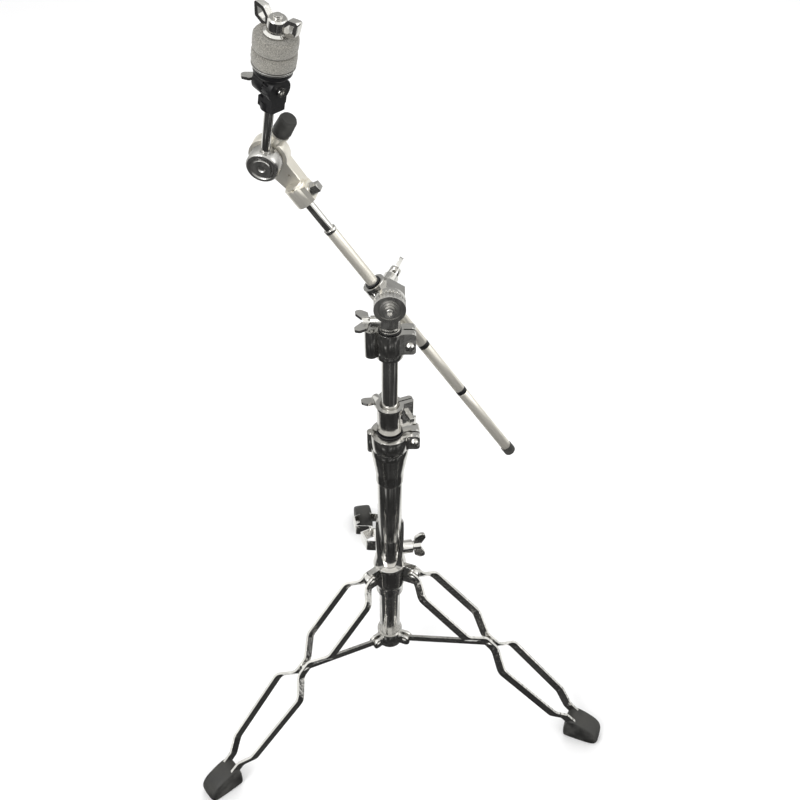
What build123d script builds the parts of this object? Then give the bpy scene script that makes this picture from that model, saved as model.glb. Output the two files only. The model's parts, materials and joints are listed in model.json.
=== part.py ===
from build123d import *
import os
from math import atan2, cos, degrees, hypot, radians, sin, sqrt

# A double-clamp cymbal boom stand with a figure-eight tripod.
# Modelled about the axis of its upright tubes, +Z up, floor at z = 0, millimetres;
# the finished stand is moved so that the origin is under the middle of its box.

# ---- driving dimensions -------------------------------------------------------------
# upright tubes, thickest to thinnest
LEG_TUBE_D = 28.6
BASE_TUBE_D = 31.0
MID_TUBE_D = 19.05
POST_D = 15.9
TUBE_WALL = 1.5
RUN = 0.075              # radial clearance of one tube sliding in another
GAP = 0.35               # gap between the faces of pieces that move past each other

# heights on the upright axis
BASE_TUBE_LOW = 300.0
BASE_TUBE_TOP = 450.0
BASE_CLAMP_TOP = 485.0
MID_TUBE_LOW = 185.0
MID_TUBE_TOP = 617.0
MEMORY_LOCK_LOW = 489.0
MEMORY_LOCK_TOP = 529.0
UPPER_CLAMP_LOW = 603.0
UPPER_CLAMP_TOP = 639.0
LEG_TUBE_LOW = 81.0
LEG_TUBE_TOP = 430.0
HUB_LOW = 78.0
HUB_TOP = 102.0
POST_LOW = 478.0
POST_TOP = 657.0
TILTER_LOW = 641.5

# hinged clamps and wing screws on the upright
BASE_EAR_X = 36.0
BASE_BOLT_Z = 475.0
BASE_BUSH_R = 13.0
UPPER_EAR_X = 29.0
UPPER_BOLT_Z = 621.0
UPPER_BUSH_R = 11.0
CLAMP_BOLT_R = 3.0
TRIPOD_WING_Z = 272.0
TRIPOD_WING_AZIMUTH = 100.0
TRIPOD_BOSS_R = 30.0
MEMORY_WING_Z = 512.0
MEMORY_WING_AZIMUTH = -150.0
MEMORY_BOSS_R = 24.0
MEMORY_LUG_TURN = 22.0
MEMORY_KEY_Z = 509.0
SCREW_R = 3.94
SMALL_SCREW_R = 3.44

# tripod
HUB_R = 17.4
LEG_AZIMUTHS = (-51.0, 69.0, 189.0)   # from the front, positive towards +X
LEG_PIVOT_R = 35.0
LEG_PIVOT_Z = 236.0
LEG_SLOPE = 40.5                      # below the horizontal
LEG_WAIST = 147.0                     # from the pivot to the waist of the figure eight
LEG_LENGTH = 332.0
STRIP_THICKNESS = 3.0
STRIP_HEIGHT = 13.0
STRIP_SPREAD = 23.0                   # half width of a loop, at the strip's middle
STRIP_BEND_R = 13.0
TONGUE_THICKNESS = 8.0
BRACE_THICKNESS = 3.6
BRACE_HEIGHT = 9.0
HUB_PIVOT_R = 24.0
HUB_PIVOT_Z = 89.0
HUB_EAR_R = 8.0
HUB_EAR_THICKNESS = 4.0
PIVOT_PIN_R = 3.0
WAIST_PIN_R = 2.5
PIN_PLAY = 0.06
FOOT_IN = 264.0
FOOT_OUT = 314.0
FOOT_HALF_WIDTH = 13.5
FOOT_HEIGHT = 30.0

# boom tilter and boom
TILTER_PIVOT_Z = 676.0
TILTER_DISC_R = 17.5
TILTER_WING_Z = 650.0
TILTER_BOSS_R = 21.0
TILTER_TEETH = 28
BOOM_OFFSET_Y = 24.0                  # the boom passes behind the upright axis
BOOM_CROSSING_Z = 657.3               # height at which it passes the upright axis
BOOM_SLOPE = 56.7                     # above the horizontal
BOOM_D = 12.7
BOOM_LOW = -262.0                     # along the boom, measured from the crossing
BOOM_TOP = 111.0
INNER_ROD_D = 10.3
INNER_ROD_LOW = 40.0
BAND_PLACES = (-70.0, -153.0)
BAND_LENGTH = 6.0
BAND_DEPTH = 0.5
EYE_LENGTH = 34.0
EYE_R = 13.0
EYE_BORE_R = 8.0
EYE_BOSS_R = 25.0
EYE_SCREW_TURN = 60.0                 # about the boom, from square above it towards the back
EYE_WING_REST = 53.0

# drum brake at the top of the boom
DRUM_ALONG = 215.5
DRUM_DROP = 4.4
DRUM_R = 17.0
DRUM_JOURNAL_R = 13.0
DRUM_RETAINER_R = 15.5
ARM_SOCKET_LOW = 154.0                # along the boom
ARM_SOCKET_TOP = 178.0
ARM_BACK = -15.0                      # along the drum's axis
ARM_FRONT = -1.0
KNOB_ANGLE = 62.0                     # between the knob's axis and the boom
ROD_PLANE = 9.5                       # the rod crosses the drum this far in front of the arm

# cymbal rod and seat; lengths along the rod from the middle of the drum
ROD_LEAN_RIGHT = 0.165
ROD_LEAN_FRONT = 0.196
ROD_D = 9.5
ROD_LOW = -16.0
RATCHET_PIVOT = 95.0
RATCHET_R = 12.5
RATCHET_TEETH = 24
SEAT_FACE = 116.0
SEAT_POST_DEPTH = 7.0                 # of the post in the seat
FELT_R = 21.0
FELT_THICKNESS = 15.0
SEAT_POST_R = 4.0
SEAT_POST_TOP = 168.0
SLEEVE_R = 6.0

# directions, and points that the boom and the rod share
FRONT = Vector(0, -1, 0)
UP = Vector(0, 0, 1)
BOOM_DIR = Vector(-cos(radians(BOOM_SLOPE)), 0, sin(radians(BOOM_SLOPE)))
BOOM_ACROSS = Vector(sin(radians(BOOM_SLOPE)), 0, cos(radians(BOOM_SLOPE)))
BOOM_CROSSING = Vector(0, BOOM_OFFSET_Y, BOOM_CROSSING_Z)
EYE_ALONG = (TILTER_PIVOT_Z - BOOM_CROSSING_Z) * sin(radians(BOOM_SLOPE))
ROD_DIR = Vector(ROD_LEAN_RIGHT, -ROD_LEAN_FRONT, sqrt(1 - ROD_LEAN_RIGHT**2 - ROD_LEAN_FRONT**2))
DRUM_DIR = ROD_DIR.cross(BOOM_DIR).normalized()
ARM_ACROSS = BOOM_DIR.cross(DRUM_DIR)
DRUM_CENTRE = BOOM_CROSSING + BOOM_DIR * DRUM_ALONG - ARM_ACROSS * DRUM_DROP
ROD_CENTRE = DRUM_CENTRE + DRUM_DIR * ROD_PLANE
FRONT_RIGHT = Vector(1, -1, 0).normalized()
RATCHET_DIR = (FRONT_RIGHT - ROD_DIR * FRONT_RIGHT.dot(ROD_DIR)).normalized()

pieces = {}


# ---- helpers ------------------------------------------------------------------------
def ring(outer_r, inner_r, low, high):
    """Round tube or washer on the Z axis between two heights."""
    body = Pos(0, 0, low) * Cylinder(outer_r, high - low, align=(Align.CENTER, Align.CENTER, Align.MIN))
    if inner_r == 0:
        return body
    bore = Cylinder(inner_r, high - low + 2, align=(Align.CENTER, Align.CENTER, Align.MIN))
    return body - Pos(0, 0, low - 1) * bore


def turned(*points):
    """Solid of revolution about Z from its half section, given as (radius, height) points."""
    section = make_face(Plane.XZ * Polyline(*points, close=True))
    return revolve(section, Axis.Z)


def block(x_range, y_range, z_range):
    """Box between pairs of limits."""
    size = [high - low for low, high in (x_range, y_range, z_range)]
    centre = [(high + low) / 2 for low, high in (x_range, y_range, z_range)]
    return Pos(*centre) * Box(*size)


def along(origin, direction, x_dir=None):
    """Location whose +Z runs along a direction."""
    if x_dir is None:
        return Plane(origin=origin, z_dir=direction).location
    return Plane(origin=origin, x_dir=x_dir, z_dir=direction).location


def polar(azimuth, radius, height):
    """Point at an azimuth from the front, on a radius about the upright axis."""
    angle = radians(azimuth)
    return Vector(radius * sin(angle), -radius * cos(angle), height)


def wing_head(hub_r, hub_length, span, height, thickness, bore_r=0):
    """Hub standing on z = 0 with two raised wings that lie in the XZ plane."""
    half = span / 2
    outline = Polyline(
        (0.5 * hub_r, 0.1 * hub_length),
        (0.75 * half, 0.3 * hub_length),
        (half, 0.62 * height),
        (0.94 * half, height),
        (0.66 * half, height),
        (hub_r * 0.6, hub_length),
        close=True,
    )
    face = make_face(outline)
    face = fillet(face.vertices().sort_by(Axis.X)[-4:], 0.09 * span)
    wing = extrude(Plane.XZ * face, thickness / 2, both=True)
    hub = ring(hub_r, 0, 0, hub_length)
    body = hub + wing + mirror(wing, Plane.YZ)
    if bore_r:
        body -= ring(bore_r, 0, -1, height + 1)
    return body


def wing_screw(shank_r, shank_length, hub_r=6.5, hub_length=11, span=44, height=17, thickness=4.5):
    """Wing screw whose shank points down from z = 0 and whose head stands above it."""
    return wing_head(hub_r, hub_length, span, height, thickness) + ring(shank_r, 0, -shank_length, 0.5)


def square_key_screw(shank_r, shank_length, square=5.6):
    """Key screw: collar and square head above z = 0, shank below."""
    head = Pos(0, 0, 6) * Box(square, square, 8)
    head = fillet(head.edges().group_by(Axis.Z)[-1], 0.6)
    return ring(0.82 * square, 0, 0, 2.2) + head + ring(shank_r, 0, -shank_length, 0.5)


def rivet_head(radius, height):
    """Low domed head standing on z = 0."""
    return turned((0, 0), (radius, 0), (radius, 0.35 * height), (0.7 * radius, 0.85 * height), (0, height))


def rivet(pin_r, half_length, head_r, head_height):
    """Pin along Z with a domed head at each end."""
    body = ring(pin_r, 0, -half_length, half_length)
    for turn in (0, 180):
        body += Rot(turn, 0, 0) * Pos(0, 0, half_length) * rivet_head(head_r, head_height)
    return body


def rounded_ear(near_x, far_x, y_range, z_range):
    """Clamp ear along +X with rounded outer corners."""
    ear = block((near_x, far_x), y_range, z_range)
    return fillet(ear.edges().filter_by(Axis.Y).group_by(Axis.X)[-1], 4.5)


def keep(name, shape):
    pieces[name] = shape


# ---- base section -------------------------------------------------------------------
def leg_collar():
    """Casting on the lower end of the base tube: three tongues and a sloping front mouth."""
    bore = LEG_TUBE_D / 2 + GAP
    socket = BASE_TUBE_D / 2
    shell = turned(
        (bore, 192), (18.5, 192), (18.5, 204), (21, 212), (22, 246), (18.6, 264), (18.2, 322),
        (socket, 322), (socket, BASE_TUBE_LOW), (bore, BASE_TUBE_LOW),
    )
    mouth = make_face(Polyline((-40, 246), (-13, 250), (4, 330), (-40, 330), close=True))
    shell -= extrude(Plane.YZ * mouth, 40, both=True)
    for azimuth in LEG_AZIMUTHS:
        plate = Pos(LEG_PIVOT_R / 2 + 9, 0, LEG_PIVOT_Z - 2) * Box(LEG_PIVOT_R - 16, TONGUE_THICKNESS, 30)
        nose = Pos(LEG_PIVOT_R, 0, LEG_PIVOT_Z) * Rot(90, 0, 0) * Cylinder(8, TONGUE_THICKNESS)
        pin_hole = Pos(LEG_PIVOT_R, 0, LEG_PIVOT_Z) * Rot(90, 0, 0) * Cylinder(PIVOT_PIN_R, 20)
        shell += Rot(0, 0, azimuth - 90) * (plate + nose - pin_hole)
    screw_axis = along((0, 0, TRIPOD_WING_Z), polar(TRIPOD_WING_AZIMUTH, 1, 0), UP)
    shell += screw_axis * ring(9, 0, 16, TRIPOD_BOSS_R)
    shell -= ring(bore, 0, 180, BASE_TUBE_LOW)
    return shell - screw_axis * ring(SCREW_R + PIN_PLAY, 0, 0, 60)


def collar_pins():
    """Rivets of the three leg hinges."""
    pin = Pos(LEG_PIVOT_R, 0, LEG_PIVOT_Z) * Rot(90, 0, 0) * rivet(PIVOT_PIN_R, 7.8, 4.8, 2.2)
    return Compound(children=[Rot(0, 0, azimuth - 90) * pin for azimuth in LEG_AZIMUTHS])


# ---- hinged clamps ------------------------------------------------------------------
def hinged_clamp(low, high, split_low, outer_r, bore_r, barrel_x, barrel_r, ear_x, bolt_z, bolt_end):
    """Upright clamp ring with a hinge barrel on the left, ears on the right and a front jaw.

    Returns the ring that stays, the jaw, the hinge pin and the bolt through the ears."""
    web = make_face(Polyline((0, 1), (ear_x - 13, 1), (ear_x - 13, 11), (0, outer_r), close=True))
    ears = rounded_ear(outer_r * 0.6, ear_x, (1, 11), (low, high)) + Pos(0, 0, low) * extrude(web, high - low)
    barrel = Pos(barrel_x, 0, 0) * ring(barrel_r, 0, low, high)
    link = block((barrel_x, -outer_r * 0.5), (-4, 8), (low, high))
    whole = ring(outer_r, bore_r, low, high) + barrel + link - ring(bore_r, 0, low - 1, high + 1)
    front = block((-outer_r - 1, ear_x + 1), (-outer_r - 4, 0), (split_low, high + 1))
    front -= Pos(barrel_x, 0, 0) * ring(barrel_r + GAP, 0, low - 1, high + 2)
    jaw_web = make_face(Polyline((0, -1), (ear_x - 13, -1), (ear_x - 13, -9), (0, -outer_r), close=True))
    jaw_ear = rounded_ear(outer_r * 0.6, ear_x, (-9, -1), (split_low + GAP, high))
    jaw_ear += Pos(0, 0, split_low + GAP) * extrude(jaw_web, high - split_low - GAP)
    jaw = (ring(outer_r, bore_r, split_low + GAP, high) & Pos(0, -0.5, 0) * front)
    jaw += jaw_ear - ring(bore_r, 0, low - 1, high + 1)
    jaw += block((barrel_x + barrel_r + 0.6, -bore_r - 0.5), (-6, -1), (split_low + GAP, high))
    jaw -= ring(bore_r, 0, low - 1, high + 1)
    fixed = whole - front + (ears - ring(bore_r, 0, low - 1, high + 1))
    pin = Pos(barrel_x, 0, 0) * (ring(2.5, 0, low - 1.5, high + 1.5) + ring(3.8, 0, high, high + 1.5))
    bolt_axis = along((ear_x - 6.5, 0, bolt_z), (0, 1, 0))
    head = turned((0, -13.5), (3.2, -13), (5.4, -10.8), (5.6, -9), (0, -9))
    head -= block((-6, 6), (-0.7, 0.7), (-14, -12))
    bolt = bolt_axis * (ring(CLAMP_BOLT_R, 0, -9, bolt_end) + head)
    hole = bolt_axis * ring(CLAMP_BOLT_R, 0, -20, 20)
    pin_hole = Pos(barrel_x, 0, 0) * ring(2.5, 0, low - 2, high + 2)
    return fixed - hole - pin_hole, jaw - hole, pin, bolt


def base_section():
    keep("base_tube", ring(BASE_TUBE_D / 2, LEG_TUBE_D / 2 + RUN, BASE_TUBE_LOW, BASE_TUBE_TOP))
    keep("leg_collar", leg_collar())
    keep("collar_pins", collar_pins())
    fixed, jaw, pin, bolt = hinged_clamp(
        low=456, high=BASE_CLAMP_TOP, split_low=464, outer_r=23, bore_r=BASE_BUSH_R,
        barrel_x=-22, barrel_r=5.5, ear_x=BASE_EAR_X, bolt_z=BASE_BOLT_Z, bolt_end=22,
    )
    cone = turned(
        (BASE_TUBE_D / 2, 404), (17, 404), (17.6, 420), (20.5, 438), (23, 456), (23, 462),
        (BASE_BUSH_R, 462), (BASE_BUSH_R, BASE_TUBE_TOP), (BASE_TUBE_D / 2, BASE_TUBE_TOP),
    )
    keep("base_clamp", fixed + (cone - pin))
    keep("base_clamp_jaw", jaw)
    keep("base_clamp_hinge_pin", pin)
    keep("base_clamp_bolt", bolt)
    nut = wing_head(6.2, 9, 28, 15, 4, bore_r=CLAMP_BOLT_R + PIN_PLAY)
    keep("base_wing_nut", along((BASE_EAR_X - 6.5, 11 + GAP, BASE_BOLT_Z), (0, 1, 0), UP) * nut)
    bush = ring(BASE_BUSH_R - RUN, MID_TUBE_D / 2 + RUN, BASE_TUBE_TOP + GAP, BASE_CLAMP_TOP + 2.4)
    flange = ring(BASE_BUSH_R + 2.5, MID_TUBE_D / 2 + RUN, BASE_CLAMP_TOP + GAP, BASE_CLAMP_TOP + 2.4)
    keep("base_bush", bush + flange)
    screw_axis = along((0, 0, TRIPOD_WING_Z), polar(TRIPOD_WING_AZIMUTH, 1, 0), UP)
    screw = wing_screw(SCREW_R, TRIPOD_BOSS_R - LEG_TUBE_D / 2)
    keep("tripod_wing_screw", screw_axis * Pos(0, 0, TRIPOD_BOSS_R + GAP) * screw)


# ---- leg tube and hub ---------------------------------------------------------------
def brace_hub():
    """Cup at the foot of the leg tube with three open forks for the braces.

    Below the pivots the cup is notched, so that a brace can swing down past it."""
    slot = BRACE_THICKNESS / 2 + GAP
    ear = slot + HUB_EAR_THICKNESS
    top, bottom = HUB_PIVOT_Z + HUB_EAR_R, HUB_PIVOT_Z - HUB_EAR_R
    hub = ring(HUB_R, 0, HUB_LOW, HUB_TOP)
    pivot = Pos(HUB_PIVOT_R, 0, HUB_PIVOT_Z) * Rot(90, 0, 0)
    for azimuth in LEG_AZIMUTHS:
        fork = block((LEG_TUBE_D / 2 + 1, HUB_PIVOT_R), (-ear, ear), (bottom, top))
        fork += pivot * Cylinder(HUB_EAR_R, 2 * ear)
        for turn in (0, 180):
            fork += pivot * Rot(turn, 0, 0) * Pos(0, 0, ear) * rivet_head(4.2, 1.8)
        hub += Rot(0, 0, azimuth - 90) * fork
    for azimuth in LEG_AZIMUTHS:
        gap = block((HUB_R + GAP, HUB_PIVOT_R + 10), (-slot, slot), (HUB_LOW - 9, HUB_TOP + 9))
        gap += block((LEG_TUBE_D / 2 + GAP, HUB_PIVOT_R), (-slot, slot), (HUB_LOW - 9, HUB_PIVOT_Z - 1))
        hub -= Rot(0, 0, azimuth - 90) * gap
    return hub - ring(LEG_TUBE_D / 2, 0, LEG_TUBE_LOW, HUB_TOP + 10)


def leg_tube_section():
    keep("leg_tube", ring(LEG_TUBE_D / 2, LEG_TUBE_D / 2 - TUBE_WALL, LEG_TUBE_LOW, LEG_TUBE_TOP))
    keep("brace_hub", brace_hub())


# ---- legs, braces and feet ----------------------------------------------------------
def leg_location(azimuth):
    """Frame of one leg: +X from the pivot to the foot, +Y sideways."""
    outward = polar(azimuth, 1, 0)
    direction = outward * cos(radians(LEG_SLOPE)) - UP * sin(radians(LEG_SLOPE))
    square = outward * sin(radians(LEG_SLOPE)) + UP * cos(radians(LEG_SLOPE))
    return Plane(origin=polar(azimuth, LEG_PIVOT_R, LEG_PIVOT_Z), x_dir=direction, z_dir=square).location


def leg_strip(side):
    """One bent flat strip: straight runs wide apart, close in at the pivot, the waist and the foot."""
    pivot_offset = TONGUE_THICKNESS / 2 + GAP + STRIP_THICKNESS / 2
    waist_offset = BRACE_THICKNESS / 2 + 0.3 + STRIP_THICKNESS / 2
    bends = [
        (-9, pivot_offset),
        (9, pivot_offset),
        (26, STRIP_SPREAD),
        (LEG_WAIST - 37, STRIP_SPREAD),
        (LEG_WAIST - 11, waist_offset),
        (LEG_WAIST + 11, waist_offset),
        (LEG_WAIST + 33, STRIP_SPREAD + 2),
        (LEG_LENGTH - 52, STRIP_SPREAD - 3),
        (LEG_LENGTH - 32, 9.5),
        (LEG_LENGTH + 9, 8.5),
    ]
    path = FilletPolyline(*[(x, side * y) for x, y in bends], radius=STRIP_BEND_R)
    bar = extrude(trace(path, line_width=STRIP_THICKNESS), STRIP_HEIGHT / 2, both=True)
    middle = (LEG_LENGTH - 8.5) / 2
    slot = Pos(middle, 0) * SlotOverall(LEG_LENGTH + 8.5, STRIP_HEIGHT)
    outline = extrude(Plane.XZ * slot, 60, both=True)
    pivot_hole = Rot(90, 0, 0) * Cylinder(PIVOT_PIN_R + PIN_PLAY, 60)
    waist_hole = Pos(LEG_WAIST, 0, 0) * Rot(90, 0, 0) * Cylinder(WAIST_PIN_R, 60)
    return (bar & outline) - pivot_hole - waist_hole


def foot(strips):
    """Rubber boot at the end of a leg, in the frame of azimuth 90 (leg along +X)."""
    profile = Polyline(
        (FOOT_IN, 3), (FOOT_IN + 3, 0), (FOOT_OUT - 10, 0), (FOOT_OUT, 8), (FOOT_OUT, FOOT_HEIGHT - 14),
        (FOOT_OUT - 12, FOOT_HEIGHT - 3), (FOOT_IN + 8, FOOT_HEIGHT), (FOOT_IN, FOOT_HEIGHT - 8), close=True,
    )
    body = extrude(Plane.XZ * make_face(profile), FOOT_HALF_WIDTH, both=True)
    upright = body.edges().filter_by(Axis.Z)
    body = fillet(upright.group_by(Axis.X)[-1], 6)
    body = chamfer(body.faces().sort_by(Axis.Z)[-1].edges(), 1.5)
    for strip in strips:
        body -= strip
    return body


def waist_rivet():
    """Waist rivet, which holds the two strips and the brace between them."""
    reach = BRACE_THICKNESS / 2 + 0.3 + STRIP_THICKNESS
    return Pos(LEG_WAIST, 0, 0) * Rot(90, 0, 0) * rivet(WAIST_PIN_R, reach, 4.5, 2.0)


def brace():
    """Flat bar from the waist of a leg to the hub, in the frame of azimuth 90."""
    low, high = brace_ends()
    length = hypot(high[0] - low[0], high[1] - low[1])
    tilt = degrees(atan2(high[1] - low[1], high[0] - low[0]))
    slot = Pos(length / 2, 0) * SlotCenterToCenter(length, BRACE_HEIGHT)
    bar = extrude(Plane.XZ * slot, BRACE_THICKNESS / 2, both=True)
    placed = Pos(low[0], 0, low[1]) * Rot(0, -tilt, 0) * bar
    return placed - Pos(high[0], 0, high[1]) * Rot(90, 0, 0) * Cylinder(WAIST_PIN_R + PIN_PLAY, 20)


def brace_ends():
    """Hub end and waist end of a brace as (radius, height)."""
    slope = radians(LEG_SLOPE)
    waist = (LEG_PIVOT_R + LEG_WAIST * cos(slope), LEG_PIVOT_Z - LEG_WAIST * sin(slope))
    return (HUB_PIVOT_R, HUB_PIVOT_Z), waist


def legs():
    for number, azimuth in enumerate(LEG_AZIMUTHS, start=1):
        flat = leg_location(90)
        turn = Rot(0, 0, azimuth - 90)
        strips = [flat * leg_strip(side) for side in (-1, 1)]
        keep(f"leg_{number}_strips", turn * Compound(children=strips))
        keep(f"foot_{number}", turn * foot(strips))
        keep(f"leg_{number}_waist_pin", turn * flat * waist_rivet())
        keep(f"brace_{number}", turn * brace())


# ---- middle section -----------------------------------------------------------------
def memory_lock():
    """Split ring on the middle tube with a lug at the back right and a boss at the back left."""
    lock = turned(
        (MID_TUBE_D / 2, MEMORY_LOCK_LOW), (14, MEMORY_LOCK_LOW), (15, MEMORY_LOCK_LOW + 3),
        (15, MEMORY_LOCK_TOP - 4), (16.5, MEMORY_LOCK_TOP - 3), (16.5, MEMORY_LOCK_TOP),
        (12, MEMORY_LOCK_TOP), (MID_TUBE_D / 2, MEMORY_LOCK_TOP - 3),
    )
    lug = block((12, 29), (-6, 6), (MEMORY_LOCK_LOW + 4, MEMORY_LOCK_TOP))
    lug = fillet(lug.edges().filter_by(Axis.Z).group_by(Axis.X)[-1], 4)
    lug -= block((12, 40), (-0.8, 0.8), (MEMORY_LOCK_LOW, MEMORY_LOCK_TOP + 1))
    turn = Rot(0, 0, MEMORY_LUG_TURN)
    lock -= turn * block((0, 40), (-0.8, 0.8), (MEMORY_LOCK_LOW - 1, MEMORY_LOCK_TOP + 1))
    lock += turn * lug
    screw_axis = along((0, 0, MEMORY_WING_Z), polar(MEMORY_WING_AZIMUTH, 1, 0), UP)
    lock += screw_axis * ring(7.5, 0, 11, MEMORY_BOSS_R)
    lock -= screw_axis * ring(SMALL_SCREW_R + PIN_PLAY, 0, 0, 40)
    lock -= turn * along((22, 0, MEMORY_KEY_Z), (0, 1, 0)) * ring(2.6, 0, -20, 20)
    return lock - ring(MID_TUBE_D / 2, 0, MEMORY_LOCK_LOW - 1, MEMORY_LOCK_TOP + 1)


def middle_section():
    keep("mid_tube", ring(MID_TUBE_D / 2, POST_D / 2 + RUN, MID_TUBE_LOW, MID_TUBE_TOP))
    keep("memory_lock", memory_lock())
    key = square_key_screw(2.6, 17)
    keep("memory_lock_key_screw", Rot(0, 0, MEMORY_LUG_TURN) * along((22, -6, MEMORY_KEY_Z), FRONT) * key)
    screw_axis = along((0, 0, MEMORY_WING_Z), polar(MEMORY_WING_AZIMUTH, 1, 0), UP)
    wing = wing_screw(SMALL_SCREW_R, MEMORY_BOSS_R - MID_TUBE_D / 2, hub_r=6, span=38, height=15, thickness=4)
    keep("memory_wing_screw", screw_axis * Rot(0, 0, 90) * Pos(0, 0, MEMORY_BOSS_R + GAP) * wing)
    fixed, jaw, pin, bolt = hinged_clamp(
        low=UPPER_CLAMP_LOW, high=UPPER_CLAMP_TOP, split_low=610, outer_r=15.5, bore_r=UPPER_BUSH_R,
        barrel_x=-20.5, barrel_r=7.6, ear_x=UPPER_EAR_X, bolt_z=UPPER_BOLT_Z, bolt_end=12.5,
    )
    keep("upper_clamp", fixed + ring(15.5, MID_TUBE_D / 2, UPPER_CLAMP_LOW, MID_TUBE_TOP - 8))
    keep("upper_clamp_jaw", jaw)
    keep("upper_clamp_hinge_pin", pin)
    keep("upper_clamp_bolt", bolt)
    bush = ring(UPPER_BUSH_R - RUN, POST_D / 2 + RUN, MID_TUBE_TOP + GAP, UPPER_CLAMP_TOP + 2)
    flange = ring(UPPER_BUSH_R + 2, POST_D / 2 + RUN, UPPER_CLAMP_TOP + GAP, UPPER_CLAMP_TOP + 2)
    keep("upper_bush", bush + flange)


# ---- boom tilter --------------------------------------------------------------------
def toothed_disc(thickness):
    """Disc on z = 0 with a serrated rim, growing along +Z."""
    disc = ring(TILTER_DISC_R, 0, 0, thickness)
    notch = Pos(TILTER_DISC_R, 0, 0) * Rot(0, 0, 45) * Box(1.7, 1.7, 2 * 3.2)
    notches = [Rot(0, 0, 360 * i / TILTER_TEETH) * notch for i in range(TILTER_TEETH)]
    return disc - notches


def boom_point(distance):
    """Point along the boom, measured from where it passes the upright axis."""
    return BOOM_CROSSING + BOOM_DIR * distance


def eye_screw_axis():
    """Frame of the screw that grips the boom: +Z out of the eye, up and towards the back."""
    turn = radians(EYE_SCREW_TURN)
    outward = BOOM_ACROSS * cos(turn) - FRONT * sin(turn)
    return along(boom_point(EYE_ALONG), outward, BOOM_DIR)


def boom_tilter():
    pivot = (0, 0, TILTER_PIVOT_Z)
    face_y = -6.0
    base = ring(11, POST_D / 2, TILTER_LOW, POST_TOP) + ring(12.5, POST_D / 2, TILTER_LOW, TILTER_LOW + 3.5)
    base += block((-9, 9), (-15, face_y), (POST_TOP - 6, TILTER_PIVOT_Z))
    base += ring(11, 0, POST_TOP - 1.2, POST_TOP)
    base -= ring(POST_D / 2, 0, TILTER_LOW - 1, POST_TOP - 1.2)
    base += along((0, face_y, TILTER_PIVOT_Z), FRONT) * toothed_disc(9)
    base -= along((0, face_y - 9, TILTER_PIVOT_Z), FRONT) * ring(13.2, 10.6, -1.2, 1)
    base -= along(pivot, FRONT) * ring(4.06, 0, -30, 30)
    screw_axis = along((0, 0, TILTER_WING_Z), (-1, 0, 0), (0, 1, 0))
    base += screw_axis * ring(6.5, 0, 6, TILTER_BOSS_R)
    base -= ring(POST_D / 2, 0, TILTER_LOW - 1, POST_TOP - 1.2)
    base -= screw_axis * ring(SMALL_SCREW_R + PIN_PLAY, 0, 0, 40)
    keep("tilter_base", base)
    reach = TILTER_BOSS_R - POST_D / 2
    screw = wing_screw(SMALL_SCREW_R, reach, hub_r=5.2, hub_length=9, span=38, height=17, thickness=3.6)
    keep("tilter_wing_screw", screw_axis * Pos(0, 0, TILTER_BOSS_R + GAP) * screw)
    keep("post_tube", ring(POST_D / 2, POST_D / 2 - TUBE_WALL, POST_LOW, POST_TOP - 1.2))

    head = along((0, face_y + GAP, TILTER_PIVOT_Z), -FRONT) * toothed_disc(8)
    eye = along(boom_point(EYE_ALONG - EYE_LENGTH / 2), BOOM_DIR) * ring(EYE_R, 0, 0, EYE_LENGTH)
    bridge = block((-12, 12), (0, BOOM_OFFSET_Y), (-12, 12))
    head += eye + Pos(0, 0, TILTER_PIVOT_Z) * Rot(0, 90 - BOOM_SLOPE, 0) * bridge
    head += eye_screw_axis() * ring(8.5, 0, 8, EYE_BOSS_R)
    head -= along(boom_point(EYE_ALONG - 40), BOOM_DIR) * ring(EYE_BORE_R, 0, 0, 80)
    head -= eye_screw_axis() * ring(SCREW_R + PIN_PLAY, 0, 0, 60)
    head -= along(pivot, FRONT) * ring(4.06, 0, -(BOOM_OFFSET_Y - EYE_BORE_R - 4.5), 30)
    keep("tilter_head", head)

    bolt = ring(4.0, 0, -11, 15 + 4) + ring(6.8, 0, 15 + GAP, 20) + Pos(0, 0, 20) * (ring(4.4, 0, 0, 1.2))
    bolt -= Pos(0, 0, 18.4) * extrude(RegularPolygon(2.9, 6), 5)
    keep("tilter_bolt", along(pivot, FRONT) * bolt)


def eye_fittings():
    bush = ring(EYE_BORE_R - RUN, BOOM_D / 2 + RUN, -EYE_LENGTH / 2 - 1.6, EYE_LENGTH / 2 + 1.6)
    bush += ring(EYE_BORE_R + 0.9, BOOM_D / 2 + RUN, EYE_LENGTH / 2 + GAP, EYE_LENGTH / 2 + 1.6)
    bush += ring(EYE_BORE_R + 0.9, BOOM_D / 2 + RUN, -EYE_LENGTH / 2 - 1.6, -EYE_LENGTH / 2 - GAP)
    keep("eye_bush", along(boom_point(EYE_ALONG), BOOM_DIR) * bush)
    wing = wing_screw(SCREW_R, EYE_BOSS_R - EYE_BORE_R - GAP, span=42)
    place = eye_screw_axis() * Pos(0, 0, EYE_BOSS_R + GAP) * Rot(0, 0, EYE_WING_REST)
    keep("eye_wing_screw", place * wing)


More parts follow.
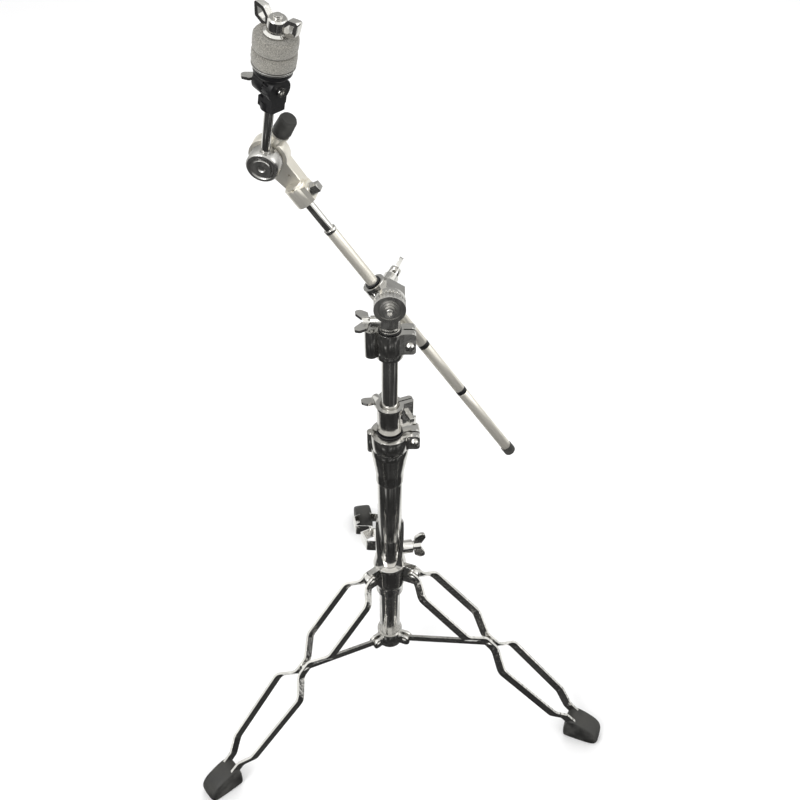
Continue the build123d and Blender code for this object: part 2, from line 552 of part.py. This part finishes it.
# ---- boom ---------------------------------------------------------------------------
def boom():
    on_boom = along(boom_point(0), BOOM_DIR)
    tube = ring(BOOM_D / 2, INNER_ROD_D / 2, BOOM_LOW, BOOM_TOP)
    bands = []
    for place in BAND_PLACES:
        low, high = place - BAND_LENGTH / 2, place + BAND_LENGTH / 2
        tube -= ring(BOOM_D / 2 + 1, BOOM_D / 2 - BAND_DEPTH, low, high)
        bands.append(on_boom * ring(BOOM_D / 2, BOOM_D / 2 - BAND_DEPTH, low, high))
    keep("boom_tube", on_boom * tube)
    keep("boom_ring", on_boom * ring(6.9, INNER_ROD_D / 2, BOOM_TOP, BOOM_TOP + 4))
    keep("boom_bands", Compound(children=bands))
    cap = ring(7.2, 0, BOOM_LOW - 12, BOOM_LOW) + ring(INNER_ROD_D / 2, 0, BOOM_LOW, BOOM_LOW + 14)
    keep("boom_end_cap", on_boom * fillet(cap.edges().group_by(Axis.Z)[0], 3))
    keep("boom_inner_rod", on_boom * ring(INNER_ROD_D / 2, 0, INNER_ROD_LOW, ARM_SOCKET_TOP - 4))


# ---- brake arm and drum -------------------------------------------------------------
def arm_location():
    """Frame of the arm: +X towards the drum's face, +Z up the boom, origin at the drum."""
    return Plane(origin=DRUM_CENTRE, x_dir=DRUM_DIR, z_dir=BOOM_DIR).location


def arm_and_drum():
    arm_frame = arm_location()
    hoop = Rot(0, 90, 0) * ring(20, DRUM_JOURNAL_R + RUN, ARM_BACK, ARM_FRONT)
    low = ARM_SOCKET_LOW - DRUM_ALONG
    high = ARM_SOCKET_TOP - DRUM_ALONG
    side = Polyline(
        (DRUM_DROP - 8, high - 22), (DRUM_DROP + 8, high - 22), (14, -4),
        (12, 12), (-10, 10), (-14, -6), close=True,
    )
    web = extrude(Plane.YZ * make_face(side), ARM_BACK)
    web &= block((ARM_BACK, ARM_FRONT), (-60, 60), (-90, 60))
    socket = Pos(0, DRUM_DROP, 0) * ring(9.5, 0, low, high)
    socket += Pos(0, DRUM_DROP, 0) * (ring(11.5, 0, low, low + 22))
    socket += Pos(0, DRUM_DROP + 8, low + 11) * Box(15, 14, 18)
    knob_dir = Vector(0, sin(radians(KNOB_ANGLE)), cos(radians(KNOB_ANGLE)))
    knob_origin = (ARM_BACK / 2 + ARM_FRONT / 2, 0, 0)
    knob_place = along(knob_origin, knob_dir, (1, 0, 0))
    neck = knob_place * turned((0, 12), (7.6, 12), (7.6, 23), (9.4, 28), (9.4, 30), (0, 30))
    arm = hoop + web + socket + neck
    arm -= Rot(0, 90, 0) * ring(DRUM_JOURNAL_R + RUN, 0, ARM_BACK - 5, ARM_FRONT + 8)
    arm -= Pos(0, DRUM_DROP, 0) * ring(INNER_ROD_D / 2, 0, low - 5, high - 4)
    arm -= knob_place * ring(3.5, 0, 0, 40)
    arm -= Rot(0, 90, 0) * ring(DRUM_R + 1.2, 0, ARM_FRONT, 30)
    arm -= Rot(0, 90, 0) * ring(DRUM_RETAINER_R + 1, 0, ARM_BACK - 6, ARM_BACK)
    key_place = along((0, DRUM_DROP + 15, low + 11), (0, 1, 0))
    arm -= key_place * ring(3.0, 0, -15, 10)
    for hole_along in (8, 20):
        arm -= Pos(0, DRUM_DROP + 2, high - hole_along + 18) * Rot(0, 90, 0) * ring(1.3, 0, ARM_FRONT - 3, 12)
    keep("brake_arm", arm_frame * arm)
    keep("arm_key_screw", arm_frame * key_place * square_key_screw(3.0, 15 - INNER_ROD_D / 2, square=8.5))
    grip = turned((0, 30 + GAP), (8.8, 30 + GAP), (9.8, 34), (9.2, 49), (7.8, 51.5), (0, 52))
    grip += ring(3.42, 0, DRUM_JOURNAL_R + RUN + 0.3, 31)
    keep("brake_knob", arm_frame * knob_place * grip)

    head = turned(
        (0, -0.5), (DRUM_R - 1.5, -0.5), (DRUM_R, 1), (DRUM_R, 16), (DRUM_R - 1.5, 18), (13, 18),
        (12, 16.6), (10.5, 16.6), (9.5, 18.6), (4, 18.6), (3, 17.4), (0, 17.4),
    )
    journal = ring(DRUM_JOURNAL_R, 0, ARM_BACK - 0.5, 0)
    drum = along(DRUM_CENTRE, DRUM_DIR) * (head + journal)
    drum -= along(ROD_CENTRE, ROD_DIR) * ring(ROD_D / 2, 0, -30, 30)
    retainer = turned(
        (0, ARM_BACK - 6), (3, ARM_BACK - 6), (4.5, ARM_BACK - 4.5), (4.5, ARM_BACK - 3),
        (DRUM_RETAINER_R, ARM_BACK - 3), (DRUM_RETAINER_R, ARM_BACK - GAP), (0, ARM_BACK - GAP),
    )
    retainer -= block((-5, 5), (-0.7, 0.7), (ARM_BACK - 7, ARM_BACK - 5))
    keep("brake_drum", drum + along(DRUM_CENTRE, DRUM_DIR) * retainer)


# ---- cymbal rod, ratchet and seat ---------------------------------------------------
def seat_location(height=0.0):
    """Frame of the seat: +Z up the rod, +X along the ratchet's pivot."""
    return Plane(origin=ROD_CENTRE + ROD_DIR * height, x_dir=RATCHET_DIR, z_dir=ROD_DIR).location


def ratchet():
    pivot_side = Rot(0, 90, 0)
    notch = Pos(RATCHET_R, 0, 0) * Rot(0, 0, 45) * Box(1.5, 1.5, 40)
    notches = [Rot(0, 0, 360 * i / RATCHET_TEETH) * notch for i in range(RATCHET_TEETH)]
    cheek = pivot_side * (ring(RATCHET_R, 0, GAP / 2, 12) - [n & ring(20, 0, -1, 7) for n in notches])
    base = cheek + block((-8, 12), (-8, 8), (-24, -RATCHET_R - 1)) + block((GAP / 2, 12), (-9, 9), (-16, 0))
    base = base - pivot_side * ring(3.05, 0, -30, 30)
    base -= ring(ROD_D / 2, 0, -40, -RATCHET_R - 3)
    base = base + ring(9, ROD_D / 2, -26, -18)
    place = seat_location(RATCHET_PIVOT)
    keep("ratchet_base", place * base)

    rise = SEAT_FACE - RATCHET_PIVOT
    head = pivot_side * ring(RATCHET_R, 0, -14, -GAP / 2)
    head += block((-14, -GAP / 2), (-11, 11), (0, rise - 6))
    head += turned((0, rise - 16), (9, rise - 16), (18.5, rise - 5), (18.5, rise), (0, rise))
    head -= pivot_side * ring(RATCHET_R + 1.0, 0, GAP / 2, 30)
    head -= pivot_side * ring(3.05, 0, -30, 30)
    head -= ring(SEAT_POST_R, 0, rise - SEAT_POST_DEPTH, rise + 1)
    keep("ratchet_head", place * head)

    bolt = ring(3.0, 0, -22, 12) + ring(4.8, 0, 12 + GAP, 15.5) - ring(2.2, 0, 14, 16)
    bolt += ring(3.0, 0, 11, 13)
    keep("ratchet_bolt", place * pivot_side * bolt)
    nut = wing_head(5, 7, 34, 12, 3.2, bore_r=3.06)
    keep("ratchet_wing_nut", place * Rot(0, -90, 0) * Pos(0, 0, 14 + GAP) * Rot(0, 0, 90) * nut)


def cymbal_seat():
    place = seat_location()
    keep("cymbal_rod", place * ring(ROD_D / 2, 0, ROD_LOW, RATCHET_PIVOT - RATCHET_R - 3))
    washer_top = SEAT_FACE + 3
    lower_top = washer_top + FELT_THICKNESS
    upper_top = lower_top + GAP + FELT_THICKNESS
    keep("seat_post", place * ring(SEAT_POST_R, 0, SEAT_FACE - SEAT_POST_DEPTH, SEAT_POST_TOP))
    keep("seat_sleeve", place * ring(SLEEVE_R, SEAT_POST_R + 0.1, washer_top, upper_top - 1))
    washer = turned(
        (SEAT_POST_R + 0.1, SEAT_FACE), (19.5, SEAT_FACE), (20.6, washer_top - 1.2),
        (20.6, washer_top), (SEAT_POST_R + 0.1, washer_top),
    )
    keep("cup_washer", place * washer)
    keep("lower_felt", place * ring(FELT_R, SLEEVE_R + 0.1, washer_top, lower_top))
    keep("upper_felt", place * ring(FELT_R, SLEEVE_R + 0.4, lower_top + GAP, upper_top))
    keep("cymbal_wing_nut", place * Rot(0, 0, 10) * Pos(0, 0, upper_top + GAP) * cymbal_wing_nut())


def cymbal_wing_nut():
    """Large wing nut: flange, hub and two squared wings, each with a window."""
    body = turned((0, 0), (12, 0), (12, 1.4), (9.4, 3.2), (9, 14), (7.6, 15.5), (0, 15.5))
    outline = Polyline((4, 2.5), (15, 4), (22.5, 8), (24.5, 22.5), (13.5, 20.5), (6.5, 12), close=True)
    window = Polyline((10.5, 7.2), (14.5, 7.8), (19, 10.5), (20.3, 18), (15.4, 17.2), (10.8, 12), close=True)
    wing = extrude(Plane.XZ * make_face(outline), 3.6, both=True)
    wing = fillet(wing.edges().filter_by(Axis.Y).sort_by(Axis.X)[-4:], 2.2)
    wing -= extrude(Plane.XZ * make_face(window), 10, both=True)
    body = body + wing + mirror(wing, Plane.YZ)
    return body - ring(SEAT_POST_R + RUN, 0, -1, 20)


# ---- build --------------------------------------------------------------------------
def build_all():
    base_section()
    leg_tube_section()
    legs()
    middle_section()
    boom_tilter()
    eye_fittings()
    boom()
    arm_and_drum()
    ratchet()
    cymbal_seat()


def box_centre():
    """Middle of the stand's box on the floor, which becomes the origin."""
    boxes = [shape.bounding_box() for shape in pieces.values()]
    low_x = min(box.min.X for box in boxes)
    high_x = max(box.max.X for box in boxes)
    low_y = min(box.min.Y for box in boxes)
    high_y = max(box.max.Y for box in boxes)
    return (low_x + high_x) / 2, (low_y + high_y) / 2


build_all()
CENTRE_X, CENTRE_Y = box_centre()
os.makedirs("parts", exist_ok=True)
for name, shape in pieces.items():
    export_step(Pos(-CENTRE_X, -CENTRE_Y, 0) * shape, f"parts/{name}.step")
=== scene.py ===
import bpy
import bmesh
import json
from math import cos, pi, radians, sin
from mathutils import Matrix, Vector, noise


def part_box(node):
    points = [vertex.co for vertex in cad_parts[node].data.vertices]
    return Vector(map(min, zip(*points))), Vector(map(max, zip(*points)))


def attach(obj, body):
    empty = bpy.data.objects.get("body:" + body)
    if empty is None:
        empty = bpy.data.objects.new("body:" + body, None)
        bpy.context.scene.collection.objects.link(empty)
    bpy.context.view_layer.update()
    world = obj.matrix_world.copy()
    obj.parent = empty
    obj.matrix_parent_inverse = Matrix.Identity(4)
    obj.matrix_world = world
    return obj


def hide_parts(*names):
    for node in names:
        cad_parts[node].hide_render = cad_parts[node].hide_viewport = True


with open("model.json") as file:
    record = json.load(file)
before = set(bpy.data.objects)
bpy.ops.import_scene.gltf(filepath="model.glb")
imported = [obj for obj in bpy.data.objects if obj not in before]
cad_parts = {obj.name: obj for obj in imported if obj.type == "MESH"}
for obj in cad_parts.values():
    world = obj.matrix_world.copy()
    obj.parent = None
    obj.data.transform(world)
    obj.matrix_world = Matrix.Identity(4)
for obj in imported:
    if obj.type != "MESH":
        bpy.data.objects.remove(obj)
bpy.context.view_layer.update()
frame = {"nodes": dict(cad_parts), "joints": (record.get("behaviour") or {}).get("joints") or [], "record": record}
NODES = frame["nodes"]
JOINTS = {joint["name"]: joint for joint in frame["joints"]}
SLOTS = {part["node"]: part["material_slot"] for part in frame["record"]["subparts"]}

UP = Vector((0, 0, 1))
UPRIGHT = (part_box("mid_tube")[0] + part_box("mid_tube")[1]) / 2
SEAT_AXIS = Vector(JOINTS["upper_felt_lift"]["axis"])
BOOM_AXIS = Vector(JOINTS["boom_reach"]["axis"])

EDGE_WIDTH = 0.0004
FELT_RIM = 0.0022
FELT_GRID = 0.0012
BOOT_SWELL = 1.04
THREAD_LENGTH = 0.016
THREAD_PITCH = 0.00125

CAMERA_BACK = 0.885
CAMERA_HEIGHT = 1.326
CAMERA_DOWN = 39.05


# ---- reading the frame --------------------------------------------------------------
def turned_size(node, axis):
    """Middle, lowest and highest place along an axis, and outer and inner radius of a turned node."""
    points = [vertex.co.copy() for vertex in NODES[node].data.vertices]
    heights = [point.dot(axis) for point in points]
    across = axis.orthogonal().normalized()
    other = axis.cross(across)
    u = [point.dot(across) for point in points]
    v = [point.dot(other) for point in points]
    centre_u, centre_v = (min(u) + max(u)) / 2, (min(v) + max(v)) / 2
    radii = [((a - centre_u) ** 2 + (b - centre_v) ** 2) ** 0.5 for a, b in zip(u, v)]
    middle = across * centre_u + other * centre_v
    return middle, min(heights), max(heights), max(radii), min(radii)


# ---- mesh helpers -------------------------------------------------------------------
def new_piece(name, build, material, body):
    """Object made by a bmesh function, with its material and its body."""
    mesh = bpy.data.meshes.new(name)
    bm = bmesh.new()
    build(bm)
    bmesh.ops.recalc_face_normals(bm, faces=bm.faces)
    bm.to_mesh(mesh)
    bm.free()
    for face in mesh.polygons:
        face.use_smooth = True
    mesh.materials.append(material)
    piece = bpy.data.objects.new(name, mesh)
    bpy.context.scene.collection.objects.link(piece)
    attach(piece, body)
    return piece


def join_loops(bm, first, second):
    """Band of four-sided faces between two closed loops with the same number of points."""
    count = len(first)
    for index in range(count):
        after = (index + 1) % count
        bm.faces.new((first[index], first[after], second[after], second[index]))


def turn_profile(bm, profile, middle, axis, steps):
    """Closed ring of revolution from (radius, height) points about an axis."""
    across = axis.orthogonal().normalized()
    other = axis.cross(across)
    rings = []
    for step in range(steps):
        angle = 2 * pi * step / steps
        out = across * cos(angle) + other * sin(angle)
        rings.append([bm.verts.new(middle + axis * height + out * radius) for radius, height in profile])
    for step, ring in enumerate(rings):
        join_loops(bm, ring, rings[(step + 1) % steps])


def subdivide(piece, levels):
    modifier = piece.modifiers.new("smooth", "SUBSURF")
    modifier.levels = levels
    modifier.render_levels = levels


def round_edges(piece, width):
    """Small bevel along the sharp edges of a CAD node."""
    weld = piece.modifiers.new("weld", "WELD")
    weld.merge_threshold = 0.000005
    bevel = piece.modifiers.new("edges", "BEVEL")
    bevel.width = width
    bevel.segments = 2
    bevel.limit_method = "ANGLE"
    bevel.angle_limit = radians(40)
    bevel.harden_normals = True


# ---- materials ----------------------------------------------------------------------
def shader(name, color, metallic, roughness):
    material = bpy.data.materials.new(name)
    material.use_nodes = True
    tree = material.node_tree
    principled = tree.nodes["Principled BSDF"]
    principled.inputs["Base Color"].default_value = (*color, 1)
    principled.inputs["Metallic"].default_value = metallic
    principled.inputs["Roughness"].default_value = roughness
    return material, tree, principled


def object_noise(tree, scale, detail=4, stretch=(1, 1, 1), turn=(0, 0, 0)):
    """Noise in object space, which may be stretched along a turned axis."""
    place = tree.nodes.new("ShaderNodeTexCoord")
    mapping = tree.nodes.new("ShaderNodeMapping")
    mapping.inputs["Rotation"].default_value = turn
    mapping.inputs["Scale"].default_value = stretch
    texture = tree.nodes.new("ShaderNodeTexNoise")
    texture.inputs["Scale"].default_value = scale
    texture.inputs["Detail"].default_value = detail
    tree.links.new(place.outputs["Object"], mapping.inputs["Vector"])
    tree.links.new(mapping.outputs["Vector"], texture.inputs["Vector"])
    return texture.outputs["Fac"]


def spread(tree, value, low, high):
    """Stretches the middle of a noise value's range over low to high."""
    remap = tree.nodes.new("ShaderNodeMapRange")
    remap.inputs["From Min"].default_value = 0.35
    remap.inputs["From Max"].default_value = 0.65
    remap.inputs["To Min"].default_value = low
    remap.inputs["To Max"].default_value = high
    tree.links.new(value, remap.inputs["Value"])
    return remap.outputs["Result"]


def two_colors(tree, principled, factor, first, second):
    mix = tree.nodes.new("ShaderNodeMix")
    mix.data_type = "RGBA"
    mix.inputs["A"].default_value = (*first, 1)
    mix.inputs["B"].default_value = (*second, 1)
    tree.links.new(factor, mix.inputs["Factor"])
    tree.links.new(mix.outputs["Result"], principled.inputs["Base Color"])


def bumpy(tree, principled, height, strength, distance):
    bump = tree.nodes.new("ShaderNodeBump")
    bump.inputs["Strength"].default_value = strength
    bump.inputs["Distance"].default_value = distance
    tree.links.new(height, bump.inputs["Height"])
    tree.links.new(bump.outputs["Normal"], principled.inputs["Normal"])


def chrome(name, tone, roughness, wave=0.0):
    """Chrome plate with a thin haze that varies, and a slight unevenness where wave is above 0."""
    color = (tone, tone * 0.985, tone * 0.955)
    material, tree, principled = shader(name, color, 1.0, roughness)
    haze = object_noise(tree, 38, 5)
    two_colors(tree, principled, spread(tree, haze, 0, 1), color, [channel * 0.78 for channel in color])
    smear = object_noise(tree, 120, 3, stretch=(1, 1, 0.25))
    tree.links.new(spread(tree, smear, roughness * 0.6, roughness * 1.8), principled.inputs["Roughness"])
    if wave:
        bumpy(tree, principled, object_noise(tree, 210, 2), wave, 0.0006)
    return material


def satin_metal():
    """Cream satin plate, brushed along the boom."""
    material, tree, principled = shader("satin_metal", (0.82, 0.79, 0.71), 0.75, 0.36)
    lean = BOOM_AXIS.to_track_quat("Z", "Y").to_euler()
    brush = object_noise(tree, 900, 2, stretch=(1, 1, 0.02), turn=(-lean.x, -lean.y, -lean.z))
    patches = object_noise(tree, 24, 5)
    two_colors(tree, principled, spread(tree, patches, 0, 1), (0.86, 0.83, 0.75), (0.70, 0.67, 0.60))
    tree.links.new(spread(tree, patches, 0.28, 0.46), principled.inputs["Roughness"])
    bumpy(tree, principled, brush, 0.12, 0.0002)
    return material


def rubber():
    """Black rubber, greyer where dust has settled."""
    material, tree, principled = shader("rubber", (0.025, 0.025, 0.024), 0.0, 0.7)
    dust = object_noise(tree, 55, 6)
    two_colors(tree, principled, spread(tree, dust, 0, 1), (0.014, 0.014, 0.013), (0.045, 0.044, 0.04))
    tree.links.new(spread(tree, dust, 0.5, 0.85), principled.inputs["Roughness"])
    bumpy(tree, principled, object_noise(tree, 1400, 3), 0.35, 0.0003)
    return material


def felt():
    """Pressed grey wool with dark and light fibres."""
    material, tree, principled = shader("felt", (0.24, 0.23, 0.21), 0.0, 0.95)
    principled.inputs["Sheen Weight"].default_value = 0.25
    principled.inputs["Sheen Roughness"].default_value = 0.6
    fibres = object_noise(tree, 900, 6, stretch=(1, 1, 2.2))
    two_colors(tree, principled, spread(tree, fibres, 0, 1), (0.10, 0.096, 0.085), (0.33, 0.315, 0.275))
    bumpy(tree, principled, object_noise(tree, 1100, 5), 0.7, 0.0006)
    return material


def black_plastic(name, roughness):
    material, tree, principled = shader(name, (0.008, 0.008, 0.009), 0.0, roughness)
    principled.inputs["Specular IOR Level"].default_value = 0.35
    grain = object_noise(tree, 800, 3)
    tree.links.new(spread(tree, grain, roughness * 0.8, roughness * 1.25), principled.inputs["Roughness"])
    bumpy(tree, principled, grain, 0.2, 0.0002)
    return material


MATERIALS = {
    "chrome_tube": chrome("chrome_tube", 0.72, 0.12),
    "chrome_cast": chrome("chrome_cast", 0.68, 0.10, wave=0.2),
    "chrome_strip": chrome("chrome_strip", 0.70, 0.07, wave=0.9),
    # dark_cast is painted shade: the same chrome at a lower tone, standing in for a dark room reflected in the
    # chrome parts on its slot, such as the cup washer.
    "dark_cast": chrome("dark_cast", 0.52, 0.30),
    "steel_screws": chrome("steel_screws", 0.62, 0.14),
    "satin_metal": satin_metal(),
    "rubber": rubber(),
    "felt": felt(),
    "black_plastic": black_plastic("black_plastic", 0.42),
    "black_nylon": black_plastic("black_nylon", 0.5),
}


def dress_cad_nodes():
    """Gives every CAD node the material of its slot and small rounded edges."""
    for name, node in NODES.items():
        material = MATERIALS[SLOTS[name]]
        if not node.material_slots:
            node.data.materials.append(material)
        for material_slot in node.material_slots:
            material_slot.material = material
        round_edges(node, EDGE_WIDTH)


# ---- felts --------------------------------------------------------------------------
def washer_outline(inner, outer, low, high, rim):
    """Section of a washer as (radius, height) points, with an arc of that rim at each corner."""
    steps = 5
    corners = [
        (inner + rim, low + rim, pi),
        (outer - rim, low + rim, 1.5 * pi),
        (outer - rim, high - rim, 0.0),
        (inner + rim, high - rim, 0.5 * pi),
    ]
    outline = []
    for radius, height, first in corners:
        for step in range(steps + 1):
            angle = first + 0.5 * pi * step / steps
            outline.append((radius + rim * cos(angle), height + rim * sin(angle)))
    return outline


def divided(outline, spacing):
    """The same closed outline with more points, about one per spacing."""
    dense = []
    for index, point in enumerate(outline):
        after = outline[(index + 1) % len(outline)]
        length = ((after[0] - point[0]) ** 2 + (after[1] - point[1]) ** 2) ** 0.5
        parts = max(1, round(length / spacing))
        for part in range(parts):
            share = part / parts
            dense.append(tuple(a + (b - a) * share for a, b in zip(point, after)))
    return dense


def felt_pad(node, body):
    """Thick wool washer: soft rounded rims, slightly barrelled, uneven all over."""
    middle, low, high, outer, inner = turned_size(node, SEAT_AXIS)
    profile = divided(washer_outline(inner, outer, low, high, FELT_RIM), FELT_GRID)

    def build(bm):
        turn_profile(bm, profile, middle, SEAT_AXIS, 144)
        for vertex in bm.verts:
            height = (vertex.co.dot(SEAT_AXIS) - low) / (high - low)
            out = vertex.co - middle - SEAT_AXIS * (vertex.co - middle).dot(SEAT_AXIS)
            if out.length < inner + 0.003:
                continue
            bulge = -0.0007 * (2 * height - 1) ** 2
            lumps = 0.00035 * noise.noise(vertex.co * 260) + 0.0002 * noise.noise(vertex.co * 900)
            vertex.co += out.normalized() * (bulge + lumps)
            vertex.co += SEAT_AXIS * 0.00012 * noise.noise(vertex.co * 420)

    piece = new_piece(node + "_wool", build, MATERIALS["felt"], body)
    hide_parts(node)


# ---- rubber feet --------------------------------------------------------------------
def rubber_boot(number):
    """Moulded boot: rounded wedge, highest where the two strips go in.

    The outline's points are shares of the foot's length and height, seen from its side. Each slice
    is a share of the half width and the outline's size there."""
    outline = [
        (0.00, 0.04), (0.05, 0.00), (0.50, 0.00), (0.86, 0.00), (0.97, 0.10), (1.01, 0.34),
        (0.95, 0.66), (0.80, 0.92), (0.54, 1.12), (0.24, 1.30), (0.04, 1.16), (-0.01, 0.50),
    ]
    slices = [(-1.0, 0.84), (-0.9, 0.97), (-0.35, 1.0), (0.35, 1.0), (0.9, 0.97), (1.0, 0.84)]
    centre = (0.5, 0.42)
    node = f"foot_{number}"
    low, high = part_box(node)
    outward = Vector(JOINTS[f"leg_{number}_hinge"]["axis"]).cross(UP)
    if outward.dot((low + high) / 2 - UPRIGHT) < 0:
        outward.negate()
    sideways = UP.cross(outward)
    points = [vertex.co - UPRIGHT for vertex in NODES[node].data.vertices]
    near = min(point.dot(outward) for point in points)
    length = max(point.dot(outward) for point in points) - near
    half = BOOT_SWELL * max(abs(point.dot(sideways)) for point in points)
    floor_point = Vector((UPRIGHT.x, UPRIGHT.y, 0))

    def build(bm):
        loops = []
        for across, size in slices:
            loop = []
            for along, up in outline:
                x = near + length * (centre[0] + (along - centre[0]) * size)
                z = high.z * max(0.0, centre[1] + (up - centre[1]) * size)
                place = floor_point + outward * x + sideways * (half * across)
                loop.append(bm.verts.new(place + UP * z))
            loops.append(loop)
        for first, second in zip(loops, loops[1:]):
            join_loops(bm, first, second)
        bm.faces.new(loops[0])
        bm.faces.new(reversed(loops[-1]))
        crease = bm.edges.layers.float.new("crease_edge")
        for edge in bm.edges:
            if all(vertex.co.z < 0.0012 for vertex in edge.verts):
                edge[crease] = 0.75

    piece = new_piece(f"foot_boot_{number}", build, MATERIALS["rubber"], f"leg_{number}")
    subdivide(piece, 3)
    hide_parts(node)


# ---- threads ------------------------------------------------------------------------
def thread(name, node, axis, length, pitch, body, slot):
    """Helical ridge on the last stretch of a turned node, at its high end along the axis."""
    middle, _, high, outer, _ = turned_size(node, axis)
    across = axis.orthogonal().normalized()
    other = axis.cross(across)
    per_turn = 28
    count = int(length / pitch * per_turn)
    root = outer - 0.0001
    depth = 0.42 * pitch

    def section(step):
        """Triangle of the ridge, lower on the first and the last turn."""
        angle = 2 * pi * step / per_turn
        height = high - length + pitch * step / per_turn
        out = across * cos(angle) + other * sin(angle)
        fade = min(1, step / per_turn, (count - step) / per_turn)
        crest = root + depth * (0.15 + 0.85 * fade)
        corners = [(root, height - 0.4 * pitch), (crest, height), (root, height + 0.4 * pitch)]
        return [middle + axis * z + out * radius for radius, z in corners]

    def build(bm):
        loops = [[bm.verts.new(point) for point in section(step)] for step in range(count + 1)]
        bm.faces.new(loops[0])
        for first, second in zip(loops, loops[1:]):
            join_loops(bm, first, second)
        bm.faces.new(reversed(loops[-1]))

    new_piece(name, build, MATERIALS[slot], body)


# ---- room, light and camera ---------------------------------------------------------
def floor():
    """Pale floor that takes shadows and doesn't show in the chrome."""
    bpy.ops.mesh.primitive_plane_add(size=40, location=(0, 0, 0))
    plane = bpy.context.object
    plane.name = "floor"
    material, _, principled = shader("pale_floor", (0.93, 0.93, 0.93), 0.0, 0.9)
    principled.inputs["Specular IOR Level"].default_value = 0.1
    plane.data.materials.append(material)
    plane.visible_glossy = False


def ramp(tree, value, stops):
    """Grey level that follows a value through (position, level) stops."""
    node = tree.nodes.new("ShaderNodeValToRGB")
    elements = node.color_ramp.elements
    while len(elements) < len(stops):
        elements.new(0.5)
    for element, (position, level) in zip(elements, stops):
        element.position = position
        element.color = (level, level, level * 0.985, 1)
    tree.links.new(value, node.inputs["Fac"])
    return node.outputs["Color"]


def blend(tree, mode, first, second):
    """Two grey levels put together: "LIGHTEN" keeps the brighter, "MULTIPLY" the product."""
    mix = tree.nodes.new("ShaderNodeMix")
    mix.data_type = "RGBA"
    mix.blend_type = mode
    mix.inputs["Factor"].default_value = 1
    tree.links.new(first, mix.inputs["A"])
    tree.links.new(second, mix.inputs["B"])
    return mix.outputs["Result"]


def studio_world():
    """White to the eye; to reflections, a dark room with a bright back wall and a window above."""
    world = bpy.data.worlds.new("studio")
    bpy.context.scene.world = world
    world.use_nodes = True
    tree = world.node_tree
    background = tree.nodes["Background"]
    place = tree.nodes.new("ShaderNodeTexCoord")
    split = tree.nodes.new("ShaderNodeSeparateXYZ")
    tree.links.new(place.outputs["Generated"], split.inputs["Vector"])
    patches = tree.nodes.new("ShaderNodeTexNoise")
    patches.inputs["Scale"].default_value = 3.0
    patches.inputs["Detail"].default_value = 2
    tree.links.new(place.outputs["Generated"], patches.inputs["Vector"])
    toward_back, upward = split.outputs["Y"], split.outputs["Z"]
    back_wall = ramp(tree, toward_back, [(0.20, 0.0), (0.38, 1.0)])
    back_wall = blend(tree, "MULTIPLY", back_wall, ramp(tree, upward, [(0.0, 1.0), (0.25, 0.0)]))
    ceiling = ramp(tree, upward, [(0.02, 0.0), (0.20, 0.9), (0.50, 1.0)])
    ceiling = blend(tree, "MULTIPLY", ceiling, ramp(tree, toward_back, [(0.48, 1.35), (0.64, 0.5)]))
    furniture = ramp(tree, patches.outputs["Fac"], [(0.42, 0.035), (0.60, 0.075), (0.70, 0.45)])
    room = blend(tree, "LIGHTEN", blend(tree, "LIGHTEN", back_wall, ceiling), furniture)
    light_path = tree.nodes.new("ShaderNodeLightPath")
    seen = tree.nodes.new("ShaderNodeMix")
    seen.data_type = "RGBA"
    seen.inputs["A"].default_value = (0.9, 0.9, 0.9, 1)
    tree.links.new(room, seen.inputs["B"])
    tree.links.new(light_path.outputs["Is Glossy Ray"], seen.inputs["Factor"])
    tree.links.new(seen.outputs["Result"], background.inputs["Color"])


def area_light(name, place, target, size, power):
    data = bpy.data.lights.new(name, "AREA")
    data.size = size
    data.energy = power
    light = bpy.data.objects.new(name, data)
    bpy.context.scene.collection.objects.link(light)
    light.location = place
    light.rotation_euler = (Vector(target) - Vector(place)).to_track_quat("-Z", "Y").to_euler()
    return light


def lights():
    """Key from the front left, fill from the right, and a back light that chrome doesn't show."""
    middle = (UPRIGHT.x, UPRIGHT.y, 0.5)
    area_light("key", (-1.6, -1.8, 2.6), middle, 1.2, 38)
    area_light("fill", (2.2, -0.6, 1.9), middle, 1.6, 14)
    back = area_light("back", (0.4, 2.4, 2.2), middle, 1.4, 18)
    back.visible_glossy = False


def camera():
    """Looks down at the stand from in front of its upright tubes."""
    data = bpy.data.cameras.new("camera")
    data.lens = 46.0
    data.shift_x = 0.0128
    data.shift_y = -0.0609
    eye = bpy.data.objects.new("camera", data)
    bpy.context.scene.collection.objects.link(eye)
    eye.location = (UPRIGHT.x, UPRIGHT.y - CAMERA_BACK, CAMERA_HEIGHT)
    eye.rotation_euler = (radians(90 - CAMERA_DOWN), 0, 0)
    bpy.context.scene.camera = eye


# ---- build --------------------------------------------------------------------------
camera()
floor()
studio_world()
lights()
bpy.context.scene.view_settings.view_transform = "Standard"

dress_cad_nodes()
felt_pad("lower_felt", "seat")
felt_pad("upper_felt", "upper_felt")
for leg in (1, 2, 3):
    rubber_boot(leg)
thread("seat_post_thread", "seat_post", SEAT_AXIS, THREAD_LENGTH, THREAD_PITCH, "seat", "chrome_tube")
